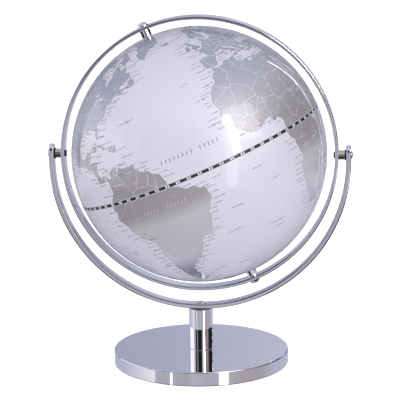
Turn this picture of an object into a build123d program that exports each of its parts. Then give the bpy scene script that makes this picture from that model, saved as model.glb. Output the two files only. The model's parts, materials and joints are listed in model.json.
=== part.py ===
from build123d import *
import os
from math import acos, asin, cos, degrees, radians, sin, sqrt

# Desk globe in a gimbal: a weighted stand with a half-round arc, a meridian ring that tilts
# between the arc's arms, and a hollow globe that spins in the ring on a leaning polar axis.
# The frame has +Z up, +X to the right along the tilt pivots, and its origin on the table
# under the middle of the stand. Lengths are in millimetres and angles in degrees.

# Globe
globe_radius = 100.0
shell_wall = 1.6
axis_lean = 23.2  # the north pole leans to the left by this much
centre_height = 168.5
joint_ring_wall = 1.2
joint_ring_half_height = 5.0
tape_width = 3.0
tape_thickness = 0.15

# Meridian ring
ring_gap = 5.9  # globe to ring
ring_thickness = 2.9
ring_depth = 13.6
ring_edge_radius = 0.9

# Support arc
arc_gap = 5.7  # ring to arm, at the pivots
arc_thickness = 4.1
arc_depth = 10.5
arc_drop = 5.7  # the arc's centre lies this far below the pivots
arm_end_height = 7.7  # the arms end this far above the pivots
arc_edge_radius = 1.2

# Stem and base
stem_radius = 9.5
stem_wall = 1.5
stem_foot_chamfer = 0.5
base_radius = 69.4
base_top = 11.6
cover_wall = 1.2
pad_thickness = 1.5
pad_proud = 0.6  # the pad lifts the cover's rim off the table by this much
weight_clearance = 0.3
plug_length = 14.0

# Screws, pins and their seats
pin_radius = 1.5
turning_clearance = 0.05
face_clearance = 0.1
spacer_radius = 3.6
bush_radius = 2.5
bush_flange_radius = 4.2
bush_flange_thickness = 1.0
pivot_head_radius = 3.1
pivot_head_height = 1.2
pivot_socket = 1.0  # half the width across the socket's flats
pivot_socket_floor = -0.6  # measured from the head's seat
nut_radius = 2.5
nut_thickness = 1.1
pole_head_radius = 4.6
pole_head_height = 3.2
pole_sleeve_radius = 4.1
pole_bush_radius = 4.4
pole_bush_flange_radius = 7.0
pole_bush_flange_thickness = 1.5
pole_bush_length = 8.0
arc_screw_radius = 2.5
arc_screw_head_radius = 4.9
arc_screw_dome = 1.0
arc_screw_length = 12.0
arc_screw_socket = 1.5
base_bolt_radius = 3.0
base_bolt_head = 5.0
base_bolt_head_height = 4.0
base_bolt_length = 22.0
washer_radius = 7.0
washer_thickness = 1.2
counterbore_radius = 8.0
counterbore_depth = 5.7

# Worked out from the sizes above
ring_inner = globe_radius + ring_gap
ring_outer = ring_inner + ring_thickness
arc_inner = ring_outer + arc_gap
arc_outer = arc_inner + arc_thickness
arc_height = centre_height - arc_drop
arc_floor = arc_height - arc_inner
stem_top = arc_height - arc_outer
shell_inner = globe_radius - shell_wall
weight_bottom = pad_thickness
weight_top = base_top - cover_wall
washer_top = weight_bottom + counterbore_depth
bolt_head_top = washer_top - washer_thickness

centre = (0, 0, centre_height)
polar_axis = (-sin(radians(axis_lean)), 0, cos(radians(axis_lean)))
poles = {"north": polar_axis, "south": tuple(-part for part in polar_axis)}
sides = {"left": (-1, 0, 0), "right": (1, 0, 0)}
front = Plane(origin=centre, x_dir=(1, 0, 0), z_dir=(0, -1, 0))
arc_front = Plane(origin=(0, 0, arc_height), x_dir=(1, 0, 0), z_dir=(0, -1, 0))


def profile_plane(direction):
    """The plane through the globe's centre whose local Y runs along a direction in the ring."""
    along_x, _, along_z = direction
    return Plane(origin=centre, x_dir=(along_z, 0, -along_x), z_dir=(0, -1, 0))


def height_on(radius, offset):
    """How far along its axis a sphere or cylinder of a radius is reached, at an offset from it."""
    return sqrt(radius**2 - offset**2)


def band_outline(inner, outer, half_height):
    """Draws the half outline of a band round the equator, between two spheres."""
    for radius in (inner, outer):
        edge_angle = degrees(asin(half_height / radius))
        CenterArc((0, 0), radius, -edge_angle, 2 * edge_angle)
    for end in (-half_height, half_height):
        Line((height_on(inner, half_height), end), (height_on(outer, half_height), end))


os.makedirs("parts", exist_ok=True)

# Base cover: a shallow pressed dish with a rounded rim and a hole for the bolt
with BuildPart() as base_cover:
    with BuildSketch(Plane.XY.offset(pad_proud)):
        Circle(base_radius)
    extrude(amount=base_top - pad_proud)
    fillet(edges().filter_by(GeomType.CIRCLE).group_by(Axis.Z)[-1], radius=0.9)
    fillet(edges().filter_by(GeomType.CIRCLE).group_by(Axis.Z)[0], radius=0.5)
    with BuildSketch(Plane.XY):
        Circle(base_radius - cover_wall)
    extrude(amount=weight_top, mode=Mode.SUBTRACT)
    with BuildSketch(Plane.XY):
        Circle(base_bolt_radius)
    extrude(amount=base_top, mode=Mode.SUBTRACT)
base_cover.part.label = "base_cover"
export_step(base_cover.part, "parts/base_cover.step")

# Base weight: a cast disc that fills the cover, counterbored below for the bolt's head
with BuildPart() as base_weight:
    with BuildSketch(Plane.XY.offset(weight_bottom)):
        Circle(base_radius - cover_wall - weight_clearance)
        Circle(base_bolt_radius, mode=Mode.SUBTRACT)
    extrude(amount=weight_top - weight_bottom)
    with BuildSketch(Plane.XY.offset(weight_bottom)):
        Circle(counterbore_radius)
    extrude(amount=counterbore_depth, mode=Mode.SUBTRACT)
base_weight.part.label = "base_weight"
export_step(base_weight.part, "parts/base_weight.step")

# Base pad: the non-slip disc that the globe stands on
with BuildPart() as base_pad:
    with BuildSketch(Plane.XY):
        Circle(base_radius - cover_wall - weight_clearance)
    extrude(amount=pad_thickness)
    fillet(edges().filter_by(GeomType.CIRCLE).group_by(Axis.Z)[0], radius=0.4)
base_pad.part.label = "base_pad"
export_step(base_pad.part, "parts/base_pad.step")

# Base washer, above the bolt's head in the counterbore
with BuildPart() as base_washer:
    with BuildSketch(Plane.XY.offset(bolt_head_top)):
        Circle(washer_radius)
        Circle(base_bolt_radius, mode=Mode.SUBTRACT)
    extrude(amount=washer_thickness)
base_washer.part.label = "base_washer"
export_step(base_washer.part, "parts/base_washer.step")

# Base bolt: a hexagon bolt from below, through weight and cover into the stem
with BuildPart() as base_bolt:
    with BuildSketch(Plane.XY.offset(bolt_head_top)):
        RegularPolygon(base_bolt_head, 6, major_radius=False)
    extrude(amount=-base_bolt_head_height)
    with BuildSketch(Plane.XY.offset(bolt_head_top)):
        Circle(base_bolt_radius)
    extrude(amount=base_bolt_length)
base_bolt.part.label = "base_bolt"
export_step(base_bolt.part, "parts/base_bolt.step")

# Stem: a tube whose top is hollowed to the arc's underside
with BuildPart() as stem:
    with BuildSketch(Plane.XY.offset(base_top)):
        Circle(stem_radius)
        Circle(stem_radius - stem_wall, mode=Mode.SUBTRACT)
    extrude(amount=stem_top + arc_thickness - base_top)
    foot_edges = edges().filter_by(GeomType.CIRCLE).group_by(Axis.Z)[0].sort_by(SortBy.RADIUS)
    chamfer(foot_edges[-1], length=stem_foot_chamfer)
    with Locations((0, 0, arc_height)):
        Cylinder(arc_outer, 4 * stem_radius, rotation=(90, 0, 0), mode=Mode.SUBTRACT)
stem.part.label = "stem"
export_step(stem.part, "parts/stem.step")

# Stem lower plug: threaded insert that the base bolt screws into
with BuildPart() as stem_lower_plug:
    with BuildSketch(Plane.XY.offset(base_top)):
        Circle(stem_radius - stem_wall)
        Circle(base_bolt_radius, mode=Mode.SUBTRACT)
    extrude(amount=plug_length)
stem_lower_plug.part.label = "stem_lower_plug"
export_step(stem_lower_plug.part, "parts/stem_lower_plug.step")

# Stem upper plug: threaded insert that the arc's screw bites into
with BuildPart() as stem_upper_plug:
    with BuildSketch(Plane.XY.offset(stem_top + arc_thickness)):
        Circle(stem_radius - stem_wall)
        Circle(arc_screw_radius, mode=Mode.SUBTRACT)
    extrude(amount=-plug_length)
    with Locations((0, 0, arc_height)):
        Cylinder(arc_outer, 4 * stem_radius, rotation=(90, 0, 0), mode=Mode.SUBTRACT)
stem_upper_plug.part.label = "stem_upper_plug"
export_step(stem_upper_plug.part, "parts/stem_upper_plug.step")

# Support arc: a bent flat bar with straight arm ends, drilled for the pivots and the stem
arm_end = arc_drop + arm_end_height
with BuildPart() as support_arc:
    with BuildSketch(arc_front):
        with BuildLine():
            Line((-arc_outer, arm_end), (-arc_outer, 0))
            ThreePointArc((-arc_outer, 0), (0, -arc_outer), (arc_outer, 0))
            Line((arc_outer, 0), (arc_outer, arm_end))
            Line((arc_outer, arm_end), (arc_inner, arm_end))
            Line((arc_inner, arm_end), (arc_inner, 0))
            ThreePointArc((arc_inner, 0), (0, -arc_inner), (-arc_inner, 0))
            Line((-arc_inner, 0), (-arc_inner, arm_end))
            Line((-arc_inner, arm_end), (-arc_outer, arm_end))
        make_face()
    extrude(amount=arc_depth / 2, both=True)
    fillet(edges().filter_by(Axis.X).group_by(Axis.Z)[-1], radius=0.49 * arc_depth)
    fillet(edges().filter_by(Axis.X, reverse=True), radius=arc_edge_radius)
    for direction in sides.values():
        with BuildSketch(Plane(origin=centre, z_dir=direction)):
            Circle(bush_radius)
        extrude(amount=2 * arc_outer, mode=Mode.SUBTRACT)
    with Locations((0, 0, arc_floor)):
        CounterSinkHole(arc_screw_radius, arc_screw_head_radius, counter_sink_angle=90)
support_arc.part.label = "support_arc"
export_step(support_arc.part, "parts/support_arc.step")

# Arc screw: a raised countersunk screw with a hexagon socket, from the arc into the stem
head_neck = arc_floor - (arc_screw_head_radius - arc_screw_radius)
with BuildPart() as arc_screw:
    with BuildSketch(Plane.XZ):
        with BuildLine():
            EllipticalCenterArc((0, arc_floor), arc_screw_head_radius, arc_screw_dome, arc_size=90)
            Line((arc_screw_head_radius, arc_floor), (arc_screw_radius, head_neck))
            Line((arc_screw_radius, head_neck), (arc_screw_radius, arc_floor - arc_screw_length))
            Line((arc_screw_radius, arc_floor - arc_screw_length), (0, arc_floor - arc_screw_length))
            Line((0, arc_floor - arc_screw_length), (0, arc_floor + arc_screw_dome))
        make_face()
    revolve(axis=Axis.Z)
    with BuildSketch(Plane.XY.offset(arc_floor - arc_screw_socket)):
        RegularPolygon(arc_screw_socket, 6, major_radius=False)
    extrude(amount=2 * arc_screw_socket, mode=Mode.SUBTRACT)
arc_screw.part.label = "arc_screw"
export_step(arc_screw.part, "parts/arc_screw.step")

# Meridian ring: a rolled flat band, drilled for the tilt pivots and the pole pins
with BuildPart() as meridian_ring:
    with BuildSketch(front):
        Circle(ring_outer)
        Circle(ring_inner, mode=Mode.SUBTRACT)
    extrude(amount=ring_depth / 2, both=True)
    fillet(edges().filter_by(GeomType.CIRCLE), radius=ring_edge_radius)
    for direction in [*sides.values(), *poles.values()]:
        with BuildSketch(Plane(origin=centre, z_dir=direction)):
            Circle(pin_radius)
        extrude(amount=2 * ring_outer, mode=Mode.SUBTRACT)
meridian_ring.part.label = "meridian_ring"
export_step(meridian_ring.part, "parts/meridian_ring.step")

for side, direction in sides.items():
    turning = Axis(centre, direction)
    flange_face = arc_inner - bush_flange_thickness
    head_seat = arc_outer + face_clearance

    # Pivot bush: a black flanged sleeve pressed into the arm, in which the screw turns
    with BuildPart() as pivot_bush:
        with BuildSketch(profile_plane(direction)):
            with BuildLine():
                Polyline(
                    (pin_radius + turning_clearance, flange_face),
                    (bush_flange_radius, flange_face),
                    (bush_flange_radius, arc_inner),
                    (bush_radius, arc_inner),
                    (bush_radius, arc_outer),
                    (pin_radius + turning_clearance, arc_outer),
                    close=True,
                )
            make_face()
        revolve(axis=turning)
    pivot_bush.part.label = f"{side}_pivot_bush"
    export_step(pivot_bush.part, f"parts/{side}_pivot_bush.step")

    # Pivot spacer: a plated tube that holds the ring in the middle of the arc
    with BuildPart() as pivot_spacer:
        with BuildSketch(profile_plane(direction)):
            with Locations(((pin_radius + spacer_radius) / 2, 0)):
                Rectangle(
                    spacer_radius - pin_radius,
                    flange_face - face_clearance,
                    align=(Align.CENTER, Align.MIN),
                )
        revolve(axis=turning)
        with Locations(centre):
            Cylinder(ring_outer, 2 * ring_depth, rotation=(90, 0, 0), mode=Mode.SUBTRACT)
    pivot_spacer.part.label = f"{side}_pivot_spacer"
    export_step(pivot_spacer.part, f"parts/{side}_pivot_spacer.step")

    # Pivot screw: a domed screw through arm, bush, spacer and ring, with a hexagon socket
    with BuildPart() as pivot_screw:
        with BuildSketch(profile_plane(direction)):
            with BuildLine():
                EllipticalCenterArc((0, head_seat), pivot_head_radius, pivot_head_height, arc_size=90)
                Line((pivot_head_radius, head_seat), (pin_radius, head_seat))
                Line((pin_radius, head_seat), (pin_radius, ring_inner - nut_thickness))
                Line((pin_radius, ring_inner - nut_thickness), (0, ring_inner - nut_thickness))
                Line((0, ring_inner - nut_thickness), (0, head_seat + pivot_head_height))
            make_face()
        revolve(axis=turning)
        with BuildSketch(Plane(origin=centre, z_dir=direction).offset(head_seat + pivot_socket_floor)):
            RegularPolygon(pivot_socket, 6, major_radius=False)
        extrude(amount=2 * pivot_head_height, mode=Mode.SUBTRACT)
    pivot_screw.part.label = f"{side}_pivot_screw"
    export_step(pivot_screw.part, f"parts/{side}_pivot_screw.step")

    # Pivot nut: a low round nut inside the ring that locks the screw to it
    with BuildPart() as pivot_nut:
        with BuildSketch(profile_plane(direction)):
            with Locations(((pin_radius + nut_radius) / 2, ring_inner - nut_thickness)):
                Rectangle(
                    nut_radius - pin_radius,
                    2 * nut_thickness,
                    align=(Align.CENTER, Align.MIN),
                )
        revolve(axis=turning)
        with Locations(centre):
            Cylinder(ring_inner, 2 * ring_depth, rotation=(90, 0, 0), mode=Mode.INTERSECT)
    pivot_nut.part.label = f"{side}_pivot_nut"
    export_step(pivot_nut.part, f"parts/{side}_pivot_nut.step")

for pole, direction in poles.items():
    turning = Axis(centre, direction)
    bush_bore = pin_radius + turning_clearance

    # Pole pin: a domed pin outside the ring whose shank reaches into the globe's bush
    with BuildPart() as pole_pin:
        with BuildSketch(profile_plane(direction)):
            with BuildLine():
                EllipticalCenterArc((0, ring_outer), pole_head_radius, pole_head_height, arc_size=90)
                Line((pole_head_radius, ring_outer), (pole_head_radius, ring_inner))
                Line((pole_head_radius, ring_inner), (0, ring_inner))
                Line((0, ring_inner), (0, ring_outer + pole_head_height))
            make_face()
        revolve(axis=turning)
        with Locations(centre):
            Cylinder(ring_outer, 2 * ring_depth, rotation=(90, 0, 0), mode=Mode.SUBTRACT)
        with BuildSketch(Plane(origin=centre, z_dir=direction).offset(ring_outer + 1)):
            Circle(pin_radius)
        extrude(amount=globe_radius - pole_bush_length - ring_outer)
    pole_pin.part.label = f"{pole}_pole_pin"
    export_step(pole_pin.part, f"parts/{pole}_pole_pin.step")

    # Pole sleeve: a plated tube on the pin that keeps the globe off the ring
    with BuildPart() as pole_sleeve:
        with BuildSketch(profile_plane(direction)):
            with Locations(((pin_radius + pole_sleeve_radius) / 2, globe_radius + 4 * face_clearance)):
                Rectangle(
                    pole_sleeve_radius - pin_radius,
                    ring_gap,
                    align=(Align.CENTER, Align.MIN),
                )
        revolve(axis=turning)
        with Locations(centre):
            Cylinder(ring_inner, 2 * ring_depth, rotation=(90, 0, 0), mode=Mode.INTERSECT)
    pole_sleeve.part.label = f"{pole}_pole_sleeve"
    export_step(pole_sleeve.part, f"parts/{pole}_pole_sleeve.step")

    # Pole bush: a plastic bearing glued into the shell, with its flange inside
    with BuildPart() as pole_bush:
        flange_top = height_on(shell_inner, pole_bush_flange_radius)
        with BuildSketch(profile_plane(direction)):
            with BuildLine():
                Polyline(
                    (bush_bore, globe_radius),
                    (pole_bush_radius, globe_radius - face_clearance),
                    (pole_bush_radius, flange_top),
                    (pole_bush_flange_radius, flange_top),
                    (pole_bush_flange_radius, flange_top - pole_bush_flange_thickness),
                    (pole_bush_radius, flange_top - pole_bush_flange_thickness),
                    (pole_bush_radius, globe_radius - pole_bush_length),
                    (bush_bore, globe_radius - pole_bush_length),
                    close=True,
                )
            make_face()
        revolve(axis=turning)
    pole_bush.part.label = f"{pole}_pole_bush"
    export_step(pole_bush.part, f"parts/{pole}_pole_bush.step")

    # Hemisphere: half of the printed shell, open at the pole for its bush
    with BuildPart() as hemisphere:
        with BuildSketch(profile_plane(direction)):
            with BuildLine():
                for radius in (shell_inner, globe_radius):
                    CenterArc((0, 0), radius, 0, degrees(acos(pole_bush_radius / radius)))
                Line((shell_inner, 0), (globe_radius, 0))
                Line(
                    (pole_bush_radius, height_on(shell_inner, pole_bush_radius)),
                    (pole_bush_radius, height_on(globe_radius, pole_bush_radius)),
                )
            make_face()
        revolve(axis=turning)
    hemisphere.part.label = f"{pole}_hemisphere"
    export_step(hemisphere.part, f"parts/{pole}_hemisphere.step")

# Joint ring: the band glued inside both hemispheres, which keeps their edges in line
with BuildPart() as joint_ring:
    with BuildSketch(profile_plane(polar_axis)):
        with BuildLine():
            band_outline(shell_inner - joint_ring_wall, shell_inner, joint_ring_half_height)
        make_face()
    revolve(axis=Axis(centre, polar_axis))
joint_ring.part.label = "joint_ring"
export_step(joint_ring.part, "parts/joint_ring.step")

# Equator tape: the printed strip that covers the joint between the hemispheres
with BuildPart() as equator_tape:
    with BuildSketch(profile_plane(polar_axis)):
        with BuildLine():
            band_outline(globe_radius, globe_radius + tape_thickness, tape_width / 2)
        make_face()
    revolve(axis=Axis(centre, polar_axis))
equator_tape.part.label = "equator_tape"
export_step(equator_tape.part, "parts/equator_tape.step")
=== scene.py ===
"""Looks of a chrome desk globe that spins in a tilting ring, held by a half-round arc.

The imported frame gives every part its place. This script gives the globe its printed map,
paints the plating, plastic and rubber, and sets the studio round it. Lengths are metres."""
import json
import math
import random

import bpy
import numpy as np
from mathutils import Matrix, Vector, kdtree, noise


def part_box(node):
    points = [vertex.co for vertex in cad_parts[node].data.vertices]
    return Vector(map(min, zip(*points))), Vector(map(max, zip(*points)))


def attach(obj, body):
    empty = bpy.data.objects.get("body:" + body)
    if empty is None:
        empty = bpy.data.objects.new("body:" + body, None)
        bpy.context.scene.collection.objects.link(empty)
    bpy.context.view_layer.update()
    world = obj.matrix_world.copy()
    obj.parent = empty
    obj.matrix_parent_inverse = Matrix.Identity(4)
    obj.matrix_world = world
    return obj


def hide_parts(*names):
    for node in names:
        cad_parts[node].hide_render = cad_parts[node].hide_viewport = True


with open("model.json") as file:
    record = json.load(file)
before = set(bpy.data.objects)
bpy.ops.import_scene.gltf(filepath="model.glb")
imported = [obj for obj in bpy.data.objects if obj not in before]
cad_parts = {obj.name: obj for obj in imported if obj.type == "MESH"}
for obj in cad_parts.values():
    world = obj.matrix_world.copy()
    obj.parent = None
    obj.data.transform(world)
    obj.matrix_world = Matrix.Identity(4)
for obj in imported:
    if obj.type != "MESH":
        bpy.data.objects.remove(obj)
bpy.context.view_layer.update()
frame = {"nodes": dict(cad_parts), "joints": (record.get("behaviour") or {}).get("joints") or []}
noise.seed_set(7)                             # unseeded, Blender's vector noise differs on every run

MM = 0.001


# ---------------------------------------------------------------- the globe's own axes

joints = {j["name"]: j for j in frame["joints"]}
spin_joint = joints["globe_spin"]
CENTRE = np.array(spin_joint["pos_m"], float)
POLE = np.array(spin_joint["axis"], float)
POLE /= np.linalg.norm(POLE)
SIDE = np.array([POLE[2], 0.0, -POLE[0]])     # right-hand direction across the pole axis
FRONT = np.array([0.0, -1.0, 0.0])
GLOBE_R = float(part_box("north_hemisphere")[1].y - CENTRE[1])
MERIDIAN = -41.43                             # longitude that faces front at rest, in degrees


def on_globe(lon, lat, radius=GLOBE_R):
    """Points on the globe for longitudes and latitudes of the print, in degrees."""
    lon, lat = np.radians(np.asarray(lon, float) - MERIDIAN), np.radians(np.asarray(lat, float))
    flat = np.cos(lat)[..., None] * (np.cos(lon)[..., None] * FRONT + np.sin(lon)[..., None] * SIDE)
    return CENTRE + radius * (flat + np.sin(lat)[..., None] * POLE)


# a guess that suits the photo: the print is drawn out in height near the equator
STRETCH, STRETCH_FADE = 0.45, 22.0
TRUE_LAT = np.linspace(-90, 90, 3601)
PRINT_LAT = TRUE_LAT * (1 + STRETCH * np.exp(-np.abs(TRUE_LAT) / STRETCH_FADE))


def to_print(lat):
    return np.interp(lat, TRUE_LAT, PRINT_LAT)


def to_true(lat):
    return np.interp(lat, PRINT_LAT, TRUE_LAT)


# ---------------------------------------------------------------- coastlines, longitude,latitude

AFRICA = """-5.9,35.8 -2.9,35.3 -.6,35.8 3,36.9 5,36.9 7.8,37 9.8,37.3 11,37 10.6,35.8 10.1,34
11,33.6 13.2,32.9 15.2,32.3 16.6,31.2 19.2,30.3 20.1,32.1 21.8,32.9 24,32.1 25.2,31.6 27.2,31.4
29.9,31.2 30.5,31.5 31.8,31.5 32.3,31.3 32.5,29.9 33.6,27.9 33.9,27.1 35.5,24 36.9,22 37.3,19.6
38.6,18 39.5,15.6 41.2,14.5 42.7,13 43.3,12.4 43.1,11.5 45,10.5 47.5,11.2 51.3,11.8 50.8,9.2
49.9,8 48.5,5.3 45.3,2 42.5,-.4 40.9,-2.3 39.7,-4.1 39.1,-5.1 39.3,-6.8 39.5,-8.5 40.4,-10.3
40.6,-13 40.7,-15 39.8,-16.4 37,-18 34.9,-19.8 35.4,-21.5 35.5,-23.9 32.8,-25.9 32.9,-27
32.1,-28.8 31,-29.9 30,-31.3 27.9,-33 25.7,-34 22.1,-34.2 20,-34.8 18.4,-34.3 18.2,-33.2
18,-32.7 17.3,-30.5 16.5,-28.6 15.1,-26.6 14.5,-22.9 13.4,-20.8 12,-18.4 12.1,-15.2 13.4,-12.6
13.8,-10.7 13.2,-8.8 12.8,-7 12.3,-6 11.8,-4.8 10,-2.6 8.8,-.6 9.4,.4 9.6,1.3 9.8,1.9 9.9,3.3
9.6,4 9,4.4 8.3,4.6 6.1,4.3 5.2,5.3 3.4,6.4 2.4,6.3 -.2,5.5 -2.1,4.7 -4,5.3 -6.6,4.7 -7.5,4.4
-9.1,5.1 -10.8,6.3 -12.4,7.3 -13.2,8.5 -13.7,9.5 -15,11 -16,12 -16.7,12.4 -16.7,13.5 -17.5,14.7
-16.5,16 -16,18.1 -16.5,19.4 -17,20.9 -16.9,22 -16,23.7 -14.5,26.1 -12.9,27.9 -11.1,28.8
-9.6,30.4 -9.8,31.5 -9.2,32.3 -7.6,33.6 -6.8,34"""
EURASIA = """-5.6,36 -4.4,36.7 -2.2,36.7 -.9,37.6 .2,38.7 -.3,39.5 .8,40.7 2.2,41.4 3.3,42.3
3.1,43.2 4,43.5 5.3,43.3 6.4,43.1 7.3,43.7 8.9,44.4 9.9,44 10.3,43.5 11.1,42.4 12.2,41.7
13.6,41.2 14.3,40.8 15.3,40 16,38.7 15.7,38 16.1,37.9 16.6,38.6 17.2,39 16.6,39.8 16.9,40.5
18,40 18.4,39.8 18.1,40.6 16.9,41.1 16.2,41.8 15.3,41.9 14.2,42.5 13.5,43.6 12.6,44.1 12.5,44.9
12.4,45.4 13.7,45.7 13.9,44.8 14.4,45.3 15.2,44.1 16.5,43.5 18.1,42.6 19.4,41.4 19.4,40.5
20.1,39.5 20.7,38.9 21.3,38.3 21.7,36.8 22.5,36.4 23.2,36.5 22.8,37.5 23.4,37.4 23.6,37.9
24,37.7 24.4,38.2 23,39.2 22.7,40 22.9,40.6 23.8,40 24.4,40.9 25.9,40.9 26.3,40.2 26.2,39.9
26.8,39.5 26.5,38.6 27.2,37.8 27.4,37 28.3,36.7 29.1,36.2 30.3,36.3 30.7,36.9 32,36.5 32.8,36
34,36.3 34.8,36.8 36.1,36.7 35.8,35.4 35.5,33.9 35,32.8 34.4,31.4 32.3,31.3 32.5,29.9 33.2,28.6
34.2,27.8 34.9,29.5 34.7,28.1 35.6,27 38,24.1 39.1,21.5 40.8,19.6 42.5,16.9 42.9,14.8 43.3,13.2
45,12.8 47.5,13.6 49.1,14.5 52.2,15.6 54.1,17 56.3,17.9 57.8,19 58.5,20.4 59.8,22.5 58.6,23.6
56.8,24.4 56.4,26.3 55.2,25.2 54.2,24.2 51.8,24.2 51.6,25.2 51.2,26.1 50.8,25.3 50.1,26.5
49.5,27.2 48,29.4 48.7,30 50.2,30 50.8,28.9 52.6,27.5 54.5,26.6 56.3,27.1 57.8,25.6 60.6,25.3
66.6,25 67.5,23.8 68.8,22.9 70,22.8 69,22.2 70.9,20.8 72.4,22 72.7,21 72.8,19 73.7,15.5
74.8,12.9 76.2,9.9 77.5,8.1 78.2,8.9 79.8,10.3 80.3,13.1 80.1,15 82.3,16.6 83.3,17.7 85.8,19.8
87,20.7 88,21.7 90,21.9 91.8,22.3 92.9,20.1 94.4,17 94.3,16 95.4,15.8 97.2,17 97.6,16.3 98,14
98.6,12.3 98.6,10 98.3,8 99.3,6.8 100.3,5.4 101.2,3 103.8,1.3 103.4,3.8 102.3,6.2 100.6,7.2
100,8.6 99.3,9.3 99.3,10.6 99.8,11.8 100.5,13.5 101.5,12.7 102.6,12 103.6,10.6 104.8,8.6
106.6,9.6 107.1,10.4 109.2,11.8 109.2,13.8 108.3,16.1 105.9,18.7 106.8,20.7 108.6,21.7
109.7,21.4 110.3,20.3 110.5,21.2 113.6,22.1 116.7,23.3 118.1,24.5 119.6,26 121,28 122,29.9
121.9,31 120.3,34.3 119.4,35.2 120.4,36.1 122.6,37.2 121,37.7 119.1,37.2 117.8,38.8 119.6,39.9
121.1,40.8 121.3,39 124.3,39.9 125.2,38.7 124.8,38 126.6,37.4 126.4,34.6 129,35.1 129.5,36.5
128.9,37.8 127.5,39.3 129.7,41 131.9,43.1 135.5,44.5 138.5,47 140.4,50.5 141.4,52.5 141,53.2
138.5,54.2 135.3,54.8 138.2,56.5 143.2,59.4 151,59.5 154.5,59.6 155.2,61 160,61.8 163.5,62.5
161,60.5 156.5,57.5 155.6,55 156.7,51 158.8,53 160,54.7 162,56.2 163.3,58 162,59 164.5,59.9
170.3,60 174.5,61.8 179,62.4 177.5,64.7 181.5,64.5 186.8,64.3 190.2,66.1 185,67 181,68.3
178,69.3 170.5,69 168.5,69.8 161,69.6 156,71 150,71.5 140.5,72.6 133,71.5 129.5,71 127,73.4
119,73 113.5,73.7 108.5,73.2 113,75.8 104.3,77.7 98,76.4 92,75.8 87,75 80.7,73.5 82.5,71.5
78.5,72.3 74.5,72.8 73.5,68.2 72.5,71 69.5,73 66.7,71 68.5,68.3 64.5,69.4 60.5,69.8 54,68.5
53,68 46,68.2 43.4,68.6 44,66.5 40.3,65 37.8,63.9 34.8,64.4 32.6,67 38,66.2 41,67 37,69
33.5,69.4 31,70.3 25.8,71.1 23,70.5 18.9,69.8 14.5,68.5 14.3,67.2 11,64.7 9.5,63.6 5.7,62.3
5.1,60.3 5.6,58.8 7.1,58 8,58.2 10.6,59.3 11.2,58.9 11.9,57.7 12.8,55.8 14.3,55.5 15.8,56.1
16.5,57 16.8,58.5 18.5,59.4 17.3,60.8 17.5,62.4 20.5,63.7 22,65.5 24.5,65.7 25.3,65 21.4,63
21.5,61.5 22.3,60.3 25,60.1 28,60.5 30,59.9 28,59.5 24.7,59.4 23.5,58.8 24.3,57.3 22.6,57.7
21,56.5 21.1,55.7 20,54.7 18.8,54.4 16.5,54.5 14.3,53.9 13.3,54.6 11,54 10,54.8 10.5,56.2
10.6,57.7 8.2,56.9 8.1,55.6 8.6,54.3 8.7,53.9 7,53.4 4.8,53 4,52 3.2,51.4 1.7,50.9 1.5,50.2
.2,49.5 -1.5,49.7 -1.6,48.7 -3.2,48.8 -4.7,48.4 -4.4,47.8 -2.2,47.2 -1.2,46 -1.3,44.6 -1.6,43.4
-3.8,43.5 -5.7,43.6 -8.3,43.4 -9.2,42.9 -8.8,42 -8.7,41.1 -8.9,40 -9.5,38.8 -8.8,38.4 -9,37
-7.9,37 -6.9,37.2 -6.3,36.6"""
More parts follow.
